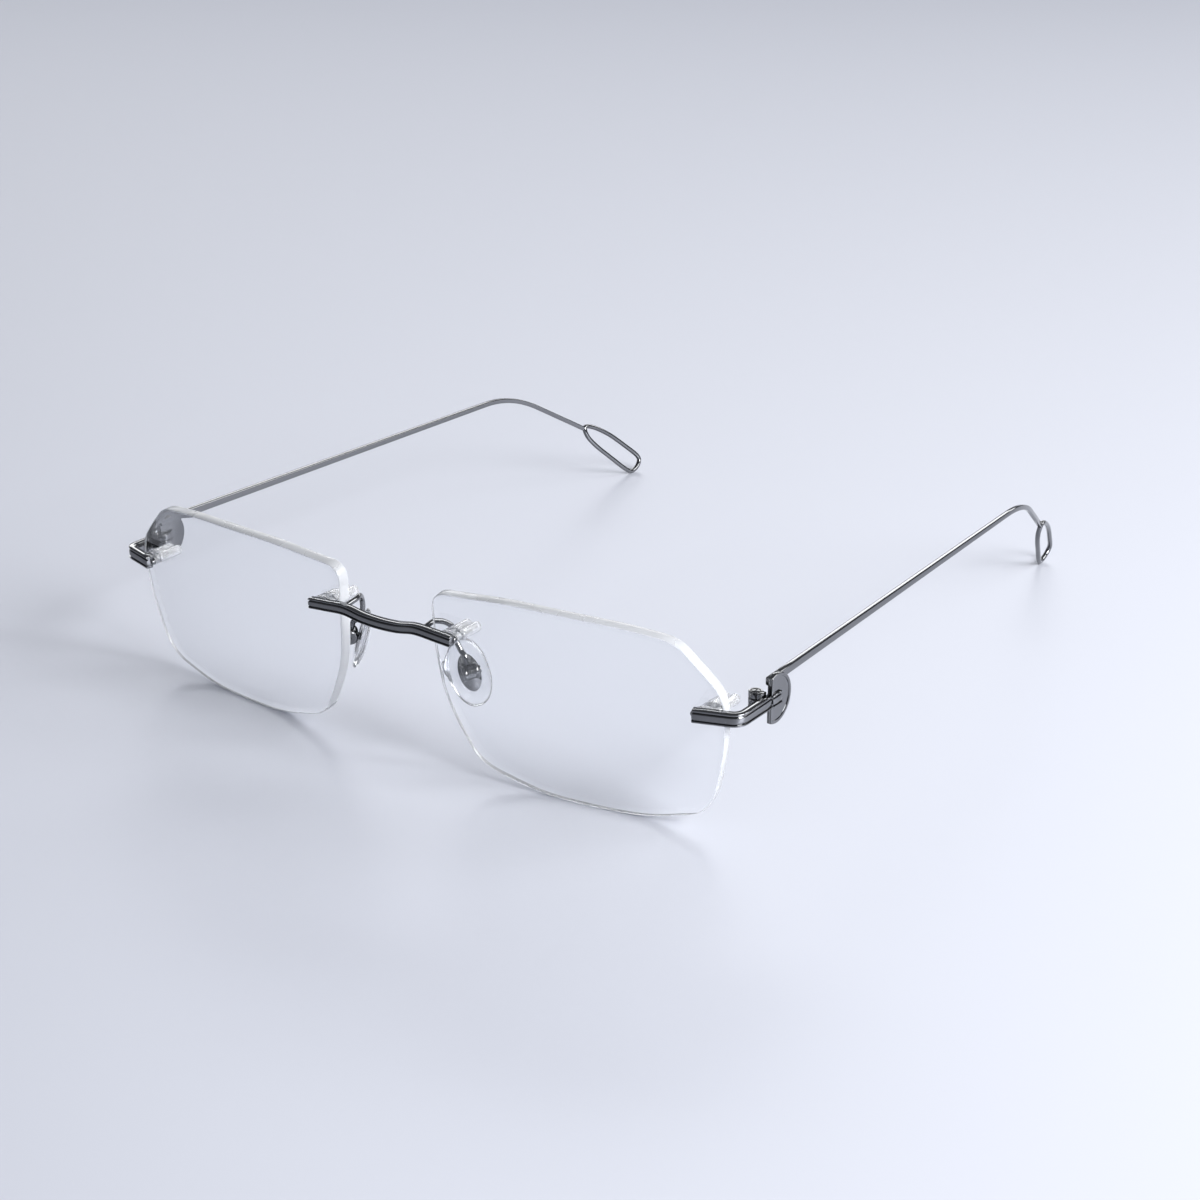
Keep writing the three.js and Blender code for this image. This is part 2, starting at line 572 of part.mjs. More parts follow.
// The bent wire runs beside the lens edge and ends in the round box that holds the pad's lug.
function padArmGeometry() {
  const besideLens = LENS_DISTANCE / 2 - ARM_LENS_CLEARANCE - ARM_RADIUS;
  const { y: lensFront, z: root } = bridgeFixing.origin;
  const { position: screw, matrixWorld: padPlace } = padFrame;
  const path = new THREE.CatmullRomCurve3([
    new THREE.Vector3(besideLens, lensFront - STANDOFF + GAP, root + 0.4),
    new THREE.Vector3(besideLens, lensFront + 2.4, root + 0.8),
    new THREE.Vector3(besideLens + 0.7, lensFront + 4.4, root + 0.7),
    new THREE.Vector3(besideLens + 1.8, screw.y - 0.3, root - 0.8),
    new THREE.Vector3(besideLens + 2, screw.y, root - 2.9),
    new THREE.Vector3(screw.x - 2.1, screw.y + 0.1, screw.z + 3.6),
    ...[2, 0.9].map((height) => new THREE.Vector3(0, 0, BOX_RADIUS * height).applyMatrix4(padPlace)),
  ]);
  const section = new THREE.Shape();
  section.absarc(0, 0, ARM_RADIUS, 0, 2 * Math.PI);
  const wire = new THREE.ExtrudeGeometry(section, { steps: 36, extrudePath: path, curveSegments: 5 });
  const slot = LUG_THICKNESS / 2 + PLAY;
  const barrel = shaped(
    [rodAlongY(BOX_RADIUS, -BOX_LENGTH / 2, BOX_LENGTH / 2, 32)],
    [box([-LUG_RADIUS - PLAY, -slot, -3], [3, slot, LUG_RADIUS + PLAY]), rodAlongY(PAD_SCREW_RADIUS + RUNNING, -3, 3, 20)],
  );
  return shaped([wire, barrel.applyMatrix4(padPlace)]);
}

// ---- Assembly -----------------------------------------------------------------------------

function placed(position, ...children) {
  const group = new THREE.Group();
  group.position.copy(position);
  group.add(...children);
  return group;
}

function sideOf(prefix) {
  const named = (name, geometry, material) => node(`${prefix}_${name}`, geometry, material);
  const lensHolder = lensFrame.clone();
  lensHolder.add(named('lens', lensGeometry(), clearLens));
  const padHolder = padFrame.clone();
  padHolder.add(
    named('nose_pad', nosePadGeometry(), silicone),
    named('pad_core', padCoreGeometry(), steel),
    named('pad_screw', padScrewGeometry(), steel),
  );
  const fixing = (name, place) =>
    placed(
      place.origin,
      named(`${name}_washer`, washerGeometry(place), plastic),
      named(`${name}_sleeve`, sleeveGeometry(place), plastic),
    );
  const hinge = placed(
    hingeAxis,
    named('endpiece', endpieceGeometry(), steel),
    named('hinge_screw', hingeScrewGeometry(), steel),
    named('temple', templeGeometry(), steel),
  );
  const side = new THREE.Group();
  side.add(
    lensHolder,
    fixing('bridge', bridgeFixing),
    fixing('endpiece', endpieceFixing),
    named('pad_arm', padArmGeometry(), steel),
    padHolder,
    hinge,
  );
  return side;
}

const left = sideOf('left');
const right = sideOf('right');
right.scale.x = -1;
const bridge = placed(
  bridgeFixing.origin.clone().setX(0),
  node('bridge', bridgeGeometry(), steel),
);

const frame = new THREE.Group();
frame.add(left, right, bridge);
const extent = new THREE.Box3().setFromObject(frame, true);
frame.position.y = -(extent.min.y + extent.max.y) / 2;

const eyeglasses = new THREE.Group();
eyeglasses.name = 'rimless_eyeglasses';
eyeglasses.add(frame);

export default eyeglasses;
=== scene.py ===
import math

import bmesh
import bpy
import numpy as np
from mathutils import Matrix, Vector


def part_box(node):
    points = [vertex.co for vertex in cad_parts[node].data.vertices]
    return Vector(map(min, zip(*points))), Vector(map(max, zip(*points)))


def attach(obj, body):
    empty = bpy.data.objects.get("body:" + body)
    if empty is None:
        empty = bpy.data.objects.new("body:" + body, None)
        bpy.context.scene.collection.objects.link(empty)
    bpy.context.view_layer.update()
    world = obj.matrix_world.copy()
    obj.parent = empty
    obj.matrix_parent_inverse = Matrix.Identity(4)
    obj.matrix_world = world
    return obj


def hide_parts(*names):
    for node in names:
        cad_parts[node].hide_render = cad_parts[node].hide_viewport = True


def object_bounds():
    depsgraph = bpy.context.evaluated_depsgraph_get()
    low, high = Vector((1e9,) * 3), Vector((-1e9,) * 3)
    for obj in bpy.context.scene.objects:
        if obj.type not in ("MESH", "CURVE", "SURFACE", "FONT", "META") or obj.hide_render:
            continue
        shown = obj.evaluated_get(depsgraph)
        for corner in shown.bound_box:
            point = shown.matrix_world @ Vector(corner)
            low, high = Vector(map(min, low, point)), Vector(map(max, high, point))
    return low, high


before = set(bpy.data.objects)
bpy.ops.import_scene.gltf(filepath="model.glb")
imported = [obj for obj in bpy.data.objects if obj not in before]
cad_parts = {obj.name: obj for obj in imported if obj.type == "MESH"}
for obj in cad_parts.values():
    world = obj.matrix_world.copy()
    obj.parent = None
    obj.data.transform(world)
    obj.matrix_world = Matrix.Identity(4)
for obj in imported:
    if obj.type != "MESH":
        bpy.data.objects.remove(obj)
CAD_LOW, CAD_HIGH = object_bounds()

bl_info = {
    "name": "Rimless Eyeglasses",
    "version": (1, 0, 0),
    "blender": (4, 5, 0),
    "location": "3D View > Sidebar > Eyeglasses",
    "description": "Builds rimless eyeglasses with a reeded bridge, rocking pads and looped temples",
    "category": "Add Mesh",
}

MM = 0.001
SIDES = {"left": 1, "right": -1}
X, Y, Z = Vector((1, 0, 0)), Vector((0, 1, 0)), Vector((0, 0, 1))

# Sizes that more than one piece takes
POST_SPACING = 2 * MM  # between the two posts of a fixing
POST_RADIUS = 0.5 * MM
KNUCKLE_RADIUS = 1.25 * MM
KNUCKLE_HALF = 0.55 * MM  # half the height of one knuckle
KNUCKLE_PITCH = 1.25 * MM  # from the middle of one knuckle to the next
HINGE_BORE = 0.48 * MM  # radius of the hole round the hinge screw
HINGE_HEAD_BORE = 0.93 * MM  # radius of the recess for its head
HINGE_SETBACK = 0.65 * MM  # from the hinge axis to the rear of the endpiece
BAR_END_ROUND = 0.14 * MM  # of the short reeded bars


# ---- Settings ------------------------------------------------------------------------------


def length(name, description, millimetres):
    """A size property, shown in the scene's units."""
    return bpy.props.FloatProperty(
        name=name, description=description, default=millimetres * MM, unit="LENGTH", precision=5
    )


def angle(name, description, degrees):
    """An angle property, shown in degrees."""
    return bpy.props.FloatProperty(
        name=name, description=description, default=math.radians(degrees), subtype="ANGLE"
    )


def colour(name, description, rgb):
    """A colour property."""
    return bpy.props.FloatVectorProperty(
        name=name, description=description, default=rgb, subtype="COLOR", min=0, max=1
    )


def factor(name, description, value):
    """A property from 0 to 1."""
    return bpy.props.FloatProperty(
        name=name, description=description, default=value, subtype="FACTOR", min=0, max=1
    )


class LensSettings(bpy.types.PropertyGroup):
    width: length("Width", "Width of one lens", 56)
    height: length("Height", "Height of one lens", 36.6)
    thickness: length("Thickness", "Thickness of the lens", 2.2)
    radius: length("Front radius", "Radius of the curved front surface", 200)
    wrap: angle("Wrap", "How far the outer side is turned back", 6.7)
    tilt: angle("Tilt", "How far the lower edge is tilted back", 6.3)
    chamfer: length("Chamfer", "Width of the polished chamfers along both edges", 0.22)
    hole_radius: length("Hole radius", "Radius of the drilled holes", 0.65)
    tint: colour("Tint", "Colour of the lens", (0.985, 0.992, 1.0))


class MetalSettings(bpy.types.PropertyGroup):
    bar_depth: length("Bar depth", "Depth of the reeded bars, front to back", 1.45)
    bridge_height: length("Bridge height", "Height of the bridge bar", 1.95)
    endpiece_height: length("Endpiece height", "Height of the endpiece bars", 2.4)
    edge: length("Edge", "Width of the softened edges of the small metal pieces", 0.09)
    steel: colour("Steel", "Colour of the polished steel", (0.18, 0.183, 0.19))
    roughness: factor("Roughness", "Roughness of the polished steel", 0.11)


class TempleSettings(bpy.types.PropertyGroup):
    bar_width: length("Bar width", "Width of the temple bar at the hinge", 1.1)
    bar_height: length("Bar height", "Height of the temple bar at the hinge", 1.6)
    end_width: length("End width", "Width of the temple bar at the ear", 0.9)
    end_height: length("End height", "Height of the temple bar at the ear", 1.05)
    wire: length("Loop wire", "Thickness of the wire of the end loop", 1.05)


class PadSettings(bpy.types.PropertyGroup):
    long: length("Length", "Length of a nose pad", 12.6)
    wide: length("Width", "Width of a nose pad", 7.2)
    thick: length("Thickness", "Thickness of a nose pad", 1.8)
    wire: length("Arm wire", "Radius of the wire that carries the pad", 0.5)
    silicone: colour("Silicone", "Colour of the clear pads", (0.93, 0.94, 0.96))


class StageSettings(bpy.types.PropertyGroup):
    floor: colour("Floor", "Colour of the floor", (0.61, 0.63, 0.70))
    azimuth: angle("Azimuth", "Viewing direction round the object", 34.63)
    elevation: angle("Elevation", "Height of the view above the horizon", 21.86)
    distance: length("Distance", "Camera to the point it looks at", 451.6)
    focal: bpy.props.FloatProperty(
        name="Focal length", description="Focal length on a 36 mm sensor", default=72.27, unit="CAMERA"
    )


def settings(name):
    """One group of the scene's settings."""
    return getattr(bpy.context.scene, "eyeglasses_" + name)


# ---- Shader building -----------------------------------------------------------------------


class Wire:
    """A socket's output in a material, with arithmetic that adds Math nodes."""

    def __init__(self, paint, socket):
        self.paint, self.socket = paint, socket

    def _math(self, operation, a, b):
        return self.paint.node("ShaderNodeMath", {"operation": operation}, {0: a, 1: b})

    def __add__(self, other):
        return self._math("ADD", self, other)

    def __sub__(self, other):
        return self._math("SUBTRACT", self, other)

    def __rsub__(self, other):
        return self._math("SUBTRACT", other, self)

    def __mul__(self, other):
        return self._math("MULTIPLY", self, other)

    __radd__ = __add__
    __rmul__ = __mul__


class Paint:
    """A new material whose nodes are made one by one."""

    def __init__(self, name):
        self.material = bpy.data.materials.new(name)
        self.material.use_nodes = True
        self.tree = self.material.node_tree
        self.shader = self.tree.nodes["Principled BSDF"]

    def node(self, kind, options=None, inputs=None, output=0):
        made = self.tree.nodes.new(kind)
        for key, value in (options or {}).items():
            setattr(made, key, value)
        for key, value in (inputs or {}).items():
            self.put(made.inputs[key], value)
        return Wire(self, made.outputs[output])

    def put(self, socket, value):
        if isinstance(value, Wire):
            self.tree.links.new(value.socket, socket)
        else:
            socket.default_value = value

    def noise(self, scale, detail=2.0, stretch=(1, 1, 1)):
        """Noise on Object coordinates, in metres, with its grain along the smallest stretch."""
        where = self.node("ShaderNodeTexCoord", output="Object")
        placed = self.node("ShaderNodeMapping", {}, {"Vector": where, "Scale": stretch})
        return self.node("ShaderNodeTexNoise", {}, {"Vector": placed, "Scale": scale, "Detail": detail})

    def finish(self, **inputs):
        for key, value in inputs.items():
            self.put(self.shader.inputs[key.replace("_", " ")], value)
        return self.material


def steel_paint():
    s = settings("metal")
    paint = Paint("polished_steel")
    smudge = paint.noise(420, 3)
    grain = paint.noise(9000, 2, (1, 0.08, 1))
    return paint.finish(
        Base_Color=(*s.steel, 1),
        Metallic=1.0,
        Roughness=s.roughness - 0.05 + 0.1 * smudge,
        Normal=paint.node("ShaderNodeBump", {}, {"Strength": 0.02, "Distance": 0.00002, "Height": grain}),
    )


def lens_paint():
    paint = Paint("clear_lens")
    haze = paint.noise(60, 3)
    return paint.finish(
        Base_Color=(*settings("lens").tint, 1),
        Transmission_Weight=1.0,
        IOR=1.5,
        Roughness=0.012 * haze,
    )


def rim_paint():
    paint = Paint("polished_rim")
    streaks = paint.noise(110, 4)
    return paint.finish(
        Base_Color=(0.88, 0.9, 0.94, 1),
        Transmission_Weight=0.48,
        IOR=1.5,
        Alpha=0.85,
        Roughness=0.1 + 0.35 * streaks,
    )


def sleeve_paint():
    paint = Paint("clear_plastic")
    haze = paint.noise(900, 2)
    return paint.finish(
        Base_Color=(0.97, 0.98, 1.0, 1), Transmission_Weight=0.75, IOR=1.46, Alpha=0.85,
        Roughness=0.04 + 0.1 * haze,
    )


def silicone_paint():
    paint = Paint("clear_silicone")
    haze = paint.noise(500, 3)
    return paint.finish(
        Base_Color=(*settings("pad").silicone, 1),
        Transmission_Weight=0.92,
        IOR=1.41,
        Roughness=0.06 + 0.1 * haze,
    )


def floor_paint():
    paint = Paint("pale_floor")
    return paint.finish(Base_Color=(*settings("stage").floor, 1), Metallic=0.35, Roughness=0.5)


# ---- Mesh building -------------------------------------------------------------------------


def smooth_by_angle(bm, degrees):
    """Shades faces smooth, with edges sharper than the angle kept crisp."""
    for face in bm.faces:
        face.smooth = True
    for edge in bm.edges:
        edge.smooth = edge.calc_face_angle(0) < math.radians(degrees)


def join_into(bm, other):
    """Adds one mesh to another and frees it."""
    scratch = bpy.data.meshes.new("scratch")
    other.to_mesh(scratch)
    bm.from_mesh(scratch)
    bpy.data.meshes.remove(scratch)
    other.free()


def loops_to_shells(*shells):
    """One mesh from shells, each a (points, faces) pair, with doubles merged and faces outwards."""
    bm = bmesh.new()
    for points, faces in shells:
        part = bmesh.new()
        verts = [part.verts.new(p) for p in points]
        for face in faces:
            part.faces.new([verts[i] for i in face])
        bmesh.ops.remove_doubles(part, verts=part.verts, dist=1e-8)
        bmesh.ops.recalc_face_normals(part, faces=part.faces)
        join_into(bm, part)
    return bm


def rings(sections):
    """A shell through equal rings of points, closed by a cap at each end."""
    count = len(sections[0])
    points = [p for section in sections for p in section]
    faces = []
    for i in range(len(sections) - 1):
        a, b = i * count, (i + 1) * count
        for j in range(count):
            k = (j + 1) % count
            faces.append((a + j, a + k, b + k, b + j))
    faces.append(tuple(reversed(range(count))))
    faces.append(tuple(range(len(points) - count, len(points))))
    return points, faces


def turned(profile, sides=48):
    """A shell turned about Z from a profile of (radius, height), closed at its ends."""
    sections = []
    for i in range(sides):
        t = 2 * math.pi * i / sides
        sections.append([Vector((r * math.cos(t), r * math.sin(t), h)) for r, h in profile])
    count = len(profile)
    points = [p for s in sections for p in s]
    faces = []
    for i in range(sides):
        a, b = i * count, ((i + 1) % sides) * count
        for j in range(count - 1):
            quad = (a + j, b + j, b + j + 1, a + j + 1)
            flat = [q for n, q in enumerate(quad) if (points[q] - points[quad[n - 1]]).length > 1e-9]
            if len(flat) > 2:
                faces.append(tuple(flat))
    return points, faces


def softened(radius, low, high, edge, bore=0.0, sides=48):
    """The profile of a disc or ring with rounded outer edges."""
    arc = [math.radians(a) for a in (0, 30, 60, 90)]
    profile = [(bore, low), (radius - edge, low)]
    profile += [(radius - edge + edge * math.sin(a), low + edge - edge * math.cos(a)) for a in arc[1:]]
    profile += [(radius - edge + edge * math.cos(a), high - edge + edge * math.sin(a)) for a in arc]
    profile += [(bore, high)]
    if bore:
        profile.append((bore, low))
    return turned(profile, sides)


def moved(shell, matrix):
    """The shell with a placement applied to its points."""
    points, faces = shell
    return [matrix @ p for p in points], faces


def along_y(shell):
    """Lays a shell made about Z along Y."""
    return moved(shell, Matrix.Rotation(-math.pi / 2, 4, "X"))


def catmull(points, steps, closed=False):
    """A smooth path through points."""
    n = len(points)
    out = []
    spans = n if closed else n - 1
    for i in range(spans):
        if closed:
            p0, p1, p2, p3 = (points[(i + k) % n] for k in (-1, 0, 1, 2))
        else:
            p1, p2 = points[i], points[i + 1]
            p0 = points[i - 1] if i else p1 * 2 - p2
            p3 = points[i + 2] if i + 2 < n else p2 * 2 - p1
        for j in range(steps):
            t = j / steps
            out.append(
                0.5 * (2 * p1 + (p2 - p0) * t + (2 * p0 - 5 * p1 + 4 * p2 - p3) * t * t
                       + (3 * p1 - p0 - 3 * p2 + p3) * t**3)
            )
    if not closed:
        out.append(points[-1].copy())
    return out


def bend(before, corner, after, steps):
    """A rounded corner."""
    return [
        before * (1 - t) ** 2 + corner * 2 * t * (1 - t) + after * t**2
        for t in (i / steps for i in range(steps + 1))
    ]


def sweep(section, path, scale_at=lambda point: (1, 1), end_round=0.0):
    """Sweeps an upright section along a path: its X faces outwards and its Y upwards."""
    frames = []
    for i, point in enumerate(path):
        along = (path[min(i + 1, len(path) - 1)] - path[max(i - 1, 0)]).normalized()
        out = along.cross(Z).normalized()
        frames.append((point, out, out.cross(along), scale_at(point), 1.0, along))
    if end_round:
        first, last = frames[0], frames[-1]
        shrunk = [(0.0, 0.80), (0.3, 0.93), (1.0, 1.0)]
        head = [(first[0] + first[5] * end_round * d, *first[1:4], k, first[5]) for d, k in shrunk]
        tail = [(last[0] - last[5] * end_round * d, *last[1:4], k, last[5]) for d, k in reversed(shrunk)]
        frames = head + frames[1:-1] + tail
    return rings([
        [p + out * (x * scale[0] * k) + up * (y * scale[1] * k) for x, y in section]
        for p, out, up, scale, k, _ in frames
    ])


def reeded_section(depth, height):
    """A bar whose outer face has a broad middle rib between two narrow grooves and outer ribs."""
    d, h = depth / 2, height / 2
    groove, outer = 0.14 * height, 0.14 * height
    lower_rib = [(-h, -0.2), (-h + outer * 0.2, -0.07), (-h + outer * 0.5, 0), (-h + outer * 0.9, -0.03)]
    floor_of_groove = [(-h + outer, -0.36), (-h + outer + groove, -0.36)]
    middle = h - outer - groove
    middle_rib = [(middle * math.sin(t), -0.1 + 0.1 * math.cos(t)) for t in
                  (math.radians(a) for a in range(-80, 81, 16))]
    upper = [(-y, x) for y, x in reversed(lower_rib + floor_of_groove)]
    face = [(d + x * MM, y) for y, x in lower_rib + floor_of_groove + middle_rib + upper]
    return [(-d, -h + 0.1 * MM), (-d + 0.1 * MM, -h), *face, (-d + 0.1 * MM, h), (-d, h - 0.1 * MM)]


def rounded_section(width, height, rounding, steps=4):
    """An oblong with rounded corners."""
    w, h = width / 2 - rounding, height / 2 - rounding
    points = []
    for cx, cy, start in ((w, -h, -90), (w, h, 0), (-w, h, 90), (-w, -h, 180)):
        for i in range(steps + 1):
            t = math.radians(start + 90 * i / steps)
            points.append((cx + rounding * math.cos(t), cy + rounding * math.sin(t)))
    return points


def oval(width, height, depth, edge, steps=40):
    """A flat oval piece about Z with softened edges."""
    sections = []
    for inset, z in ((edge, 0), (edge * 0.3, edge * 0.3), (0, edge), (0, depth - edge),
                     (edge * 0.3, depth - edge * 0.3), (edge, depth)):
        sections.append([
            Vector(((width / 2 - inset) * math.cos(t), (height / 2 - inset) * math.sin(t), z))
            for t in (2 * math.pi * i / steps for i in range(steps))
        ])
    return rings(sections)


def softened_box(low, high, edge):
    """A box with rounded upright edges and softened top and bottom."""
    section = rounded_section(high[0] - low[0], high[1] - low[1], edge, 3)
    centre = Vector(((low[0] + high[0]) / 2, (low[1] + high[1]) / 2, 0))
    levels = ((0.8, low[2]), (1, low[2] + edge), (1, high[2] - edge), (0.8, high[2]))
    return rings([[centre + Vector((x * k, y * k, z)) for x, y in section] for k, z in levels])


def mirrored(bm):
    """The same mesh for the other side, faces still outwards."""
    other = bm.copy()
    for vert in other.verts:
        vert.co.x = -vert.co.x
    bmesh.ops.reverse_faces(other, faces=other.faces)
    return other


def centre_of(node):
    """The middle of a CAD node's box."""
    low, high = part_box(node)
    return (low + high) / 2


def shift_onto(bm, node):
    """Moves a mesh so that the middle of its box is that of a CAD node."""
    co = np.array([v.co for v in bm.verts])
    offset = centre_of(node) - Vector((co.min(0) + co.max(0)) / 2)
    bmesh.ops.translate(bm, vec=offset, verts=bm.verts)
    return bm


def add_piece(name, bm, paints, body, replaces, sharp=40):
    """Adds a finished piece that rides on a body and stands for its CAD nodes."""
    smooth_by_angle(bm, sharp)
    mesh = bpy.data.meshes.new(name)
    bm.to_mesh(mesh)
    bm.free()
    for paint in paints if isinstance(paints, tuple) else (paints,):
        mesh.materials.append(paint)
    piece = bpy.data.objects.new(name, mesh)
    bpy.context.scene.collection.objects.link(piece)
    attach(piece, body)
    if replaces:
        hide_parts(*replaces)


def add_pair(name, bm, paints, bodies, node, sharp=40):
    """Adds the left piece and its mirror image, each standing for its own CAD node."""
    for side, sign in SIDES.items():
        copy = bm.copy() if sign > 0 else mirrored(bm)
        body = bodies if bodies == "front" else f"{side}_{bodies}"
        add_piece(f"{side}_{name}", copy, paints, body, [f"{side}_{node}"] if node else [], sharp)
    bm.free()


def cad_copy(node, edge):
    """A merged copy of a CAD node with softened edges."""
    source = bpy.data.objects[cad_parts[node].name]
    bm = bmesh.new()
    bm.from_mesh(source.data)
    bmesh.ops.remove_doubles(bm, verts=bm.verts, dist=1e-7)
    bmesh.ops.dissolve_limit(bm, angle_limit=math.radians(1), verts=bm.verts, edges=bm.edges)
    sharp = [e for e in bm.edges if e.calc_face_angle(0) > math.radians(40)]
    bmesh.ops.bevel(
        bm, geom=sharp, offset=edge, segments=2, profile=0.5, affect="EDGES", clamp_overlap=True
    )
    return bm


def slotted_screw(radius, head_radius, low, high, head_height, slot_width, slot_depth):
    """A screw about Z with its slotted head at the high end."""
    neck = high - head_height
    profile = [(0, low), (radius, low), (radius, neck), (head_radius - 0.04 * MM, neck),
               (head_radius, neck + 0.04 * MM), (head_radius, high - 0.1 * MM),
               (head_radius - 0.03 * MM, high - 0.03 * MM), (head_radius - 0.1 * MM, high), (0, high)]
    slot = softened_box((-slot_width / 2, -2 * head_radius, high - slot_depth),
                        (slot_width / 2, 2 * head_radius, high + slot_depth), 0.01 * MM)
    return solid_of(loops_to_shells(turned(profile)), loops_to_shells(slot))


def solid_of(bm, *tools):
    """Cuts each tool mesh out of the first one."""
    def holder(mesh_bm, name):
        mesh = bpy.data.meshes.new(name)
        mesh_bm.to_mesh(mesh)
        mesh_bm.free()
        made = bpy.data.objects.new(name, mesh)
        bpy.context.scene.collection.objects.link(made)
        return made

    base = holder(bm, "uncut")
    cutters = [holder(tool, "cutter") for tool in tools]
    for cutter in cutters:
        modifier = base.modifiers.new("cut", "BOOLEAN")
        modifier.operation, modifier.solver, modifier.object = "DIFFERENCE", "EXACT", cutter
    graph = bpy.context.evaluated_depsgraph_get()
    result = bmesh.new()
    result.from_mesh(base.evaluated_get(graph).to_mesh())
    for made in (base, *cutters):
        mesh = made.data
        bpy.data.objects.remove(made)
        bpy.data.meshes.remove(mesh)
    return result


# ---- Lenses --------------------------------------------------------------------------------


def lens_outline():
    """The outline in half widths and half heights, outwards and upwards."""
    def corner(start, control, end):
        return bend(Vector(start), Vector(control), Vector(end), 14)[:-1]

    def bow(*points):
        return catmull([Vector(p) for p in points], 14)[:-1]

    pieces_of_it = (
        corner((-1, 0.74), (-1, 0.915), (-0.88, 0.93)),
        bow((-0.88, 0.93), (-0.47, 0.99), (-0.1, 1), (0.32, 0.99), (0.58, 0.955)),
        corner((0.58, 0.955), (0.69, 0.935), (0.75, 0.85)),
        [Vector((0.75, 0.85)), Vector((0.81, 0.756)), Vector((0.87, 0.662))],
        corner((0.925, 0.57), (1, 0.45), (1, 0.22)),
        bow((1, 0.22), (0.985, -0.12), (0.93, -0.52)),
        corner((0.93, -0.52), (0.88, -0.83), (0.72, -0.88)),
        bow((0.72, -0.88), (0.42, -0.98), (0.08, -1), (-0.26, -0.985), (-0.56, -0.89)),
        corner((-0.56, -0.89), (-0.71, -0.84), (-0.77, -0.69)),
        bow((-0.77, -0.69), (-0.87, -0.4), (-0.945, -0.1), (-0.985, 0.3), (-1, 0.74)),
    )
    return [p for part in pieces_of_it for p in part]


def lens_turn():
    s = settings("lens")
    return Matrix.Rotation(s.wrap, 4, "Z") @ Matrix.Rotation(math.pi / 2 + s.tilt, 4, "X")


def lens_mesh():
    """A curved sheet of concentric rings with polished chamfers round its rim."""
    s = settings("lens")
    outline = [Vector((p.x * s.width / 2, p.y * s.height / 2)) for p in lens_outline()]

    def ring(inset, depth):
        out = []
        for i, p in enumerate(outline):
            tangent = outline[(i + 1) % len(outline)] - outline[i - 1]
            inwards = Vector((tangent.y, -tangent.x)).normalized()
            if inwards.dot(p) > 0:
                inwards = -inwards
            q = p + inwards * inset
            sag = s.radius - math.sqrt(s.radius**2 - q.length_squared)
            out.append(Vector((q.x, q.y, -sag - depth)))
        return out

    def inner(share, depth):
        out = []
        for p in outline:
            q = p * share
            sag = s.radius - math.sqrt(s.radius**2 - q.length_squared)
            out.append(Vector((q.x, q.y, -sag - depth)))
        return out

    shares = [0.02, 0.12, 0.25, 0.38, 0.5, 0.61, 0.71, 0.8, 0.88, 0.94]
    c = s.chamfer
    sections = [inner(k, 0) for k in shares] + [ring(c, 0), ring(c * 0.3, c * 0.3), ring(0, c)]
    sections += [ring(0, s.thickness - c), ring(c * 0.3, s.thickness - c * 0.3), ring(c, s.thickness)]
    sections += [inner(k, s.thickness) for k in reversed(shares)]
    bm = loops_to_shells(rings(sections))
    bmesh.ops.transform(bm, matrix=lens_turn(), verts=bm.verts)
    return bm


class EYEGLASSES_OT_lenses(bpy.types.Operator):
    """Builds both drilled lenses"""

    bl_idname = "eyeglasses.lenses"
    bl_label = "Lenses"

    def execute(self, context):
        s = settings("lens")
        lens = shift_onto(lens_mesh(), "left_lens")
        holes = []
        for node in ("left_bridge_washer", "left_endpiece_washer"):
            for way in (-1, 1):
                hole = loops_to_shells(along_y(turned([(0, -8 * MM), (s.hole_radius, -8 * MM),
                                                      (s.hole_radius, 8 * MM), (0, 8 * MM)], 32)))
                bmesh.ops.translate(hole, vec=centre_of(node) + X * way * POST_SPACING / 2, verts=hole.verts)
                holes.append(hole)
        drilled = solid_of(lens, *holes)
        drilled.normal_update()
        forwards = lens_turn() @ Z
        for face in drilled.faces:
            face.material_index = int(abs(face.normal.dot(forwards)) < 0.9)
        add_pair("lens_glass", drilled, (lens_paint(), rim_paint()), "front", "lens", 25)
        return {"FINISHED"}


# ---- Bridge and endpieces ------------------------------------------------------------------


def steel():
    """The polished steel, made once."""
    return bpy.data.materials.get("polished_steel") or steel_paint()


def boss_and_posts(washer, sleeve, bar_back, turn):
    """The mounting boss and both posts between a bar and the end of its sleeves."""
    middle = centre_of(washer)
    edge = 0.12 * MM
    boss = oval(4.2 * MM, 1.9 * MM, 0.75 * MM, edge)
    boss = moved(along_y(boss), Matrix.Translation((middle.x, bar_back, middle.z)) @ turn)
    post_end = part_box(sleeve)[1].y - 0.9 * MM
    post = along_y(softened(POST_RADIUS, 0, post_end - bar_back, edge, sides=24))
    posts = [
        moved(post, Matrix.Translation((middle.x + way * POST_SPACING / 2, bar_back, middle.z)))
        for way in (-1, 1)
    ]
    return [boss, *posts]


